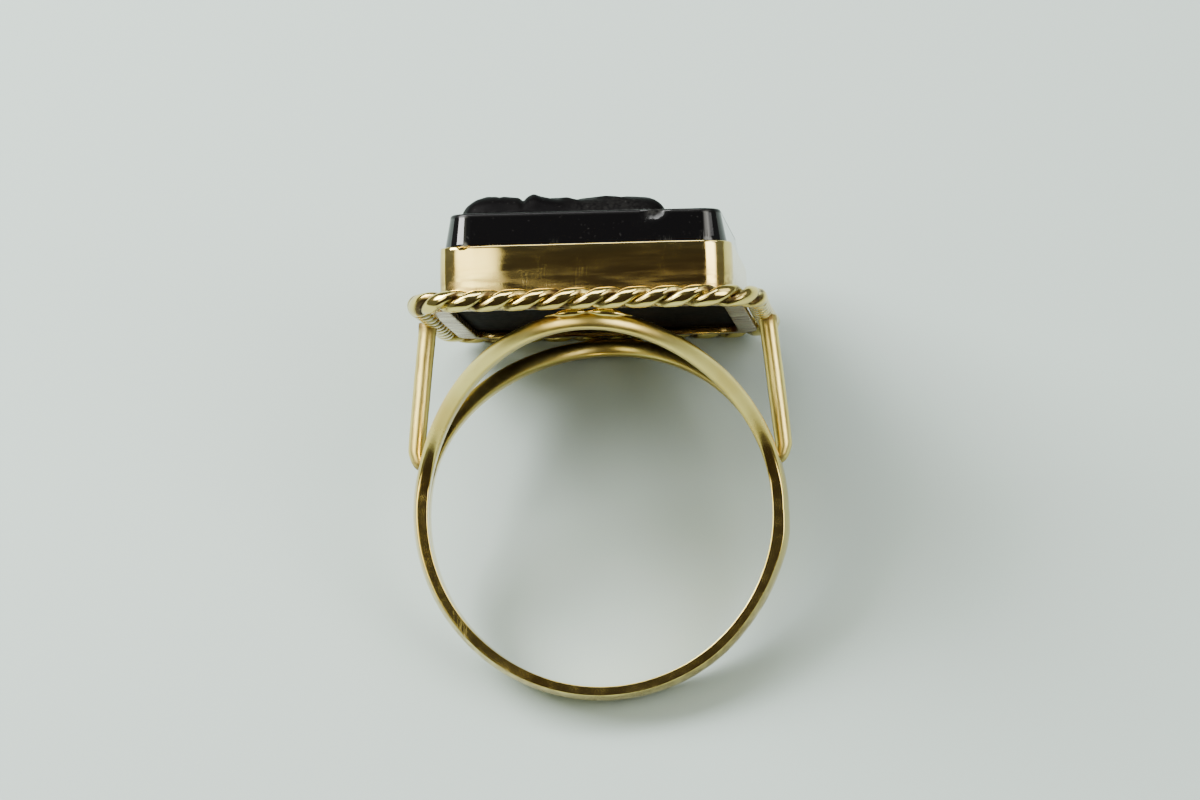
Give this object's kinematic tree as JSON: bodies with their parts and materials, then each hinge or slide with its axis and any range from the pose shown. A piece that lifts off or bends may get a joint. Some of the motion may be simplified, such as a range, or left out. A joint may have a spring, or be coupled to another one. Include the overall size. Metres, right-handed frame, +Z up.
{
  "type": "cameo ring",
  "caption": "Gold finger ring with forked shoulders, side struts, a plain bezel with a twisted wire border and a black stone carved with a raised bust.",
  "frame": {"origin": "centre of the finger hole, on the finger's axis in the middle of the band's width", "axes": "+X across the ring, +Y from the band towards the head along the surface that it lies on, +Z up from that surface"},
  "size_m": [0.0196, 0.0257, 0.0197],
  "materials": {
    "yellow_gold": "polished, with fine wear scratches",
    "black_stone": "polished sides, satin carving"
  },
  "bodies": {
    "root": {"shank": "yellow_gold", "bezel": "yellow_gold", "rope_border": "yellow_gold", "cameo": "black_stone"}
  },
  "joints": []
}
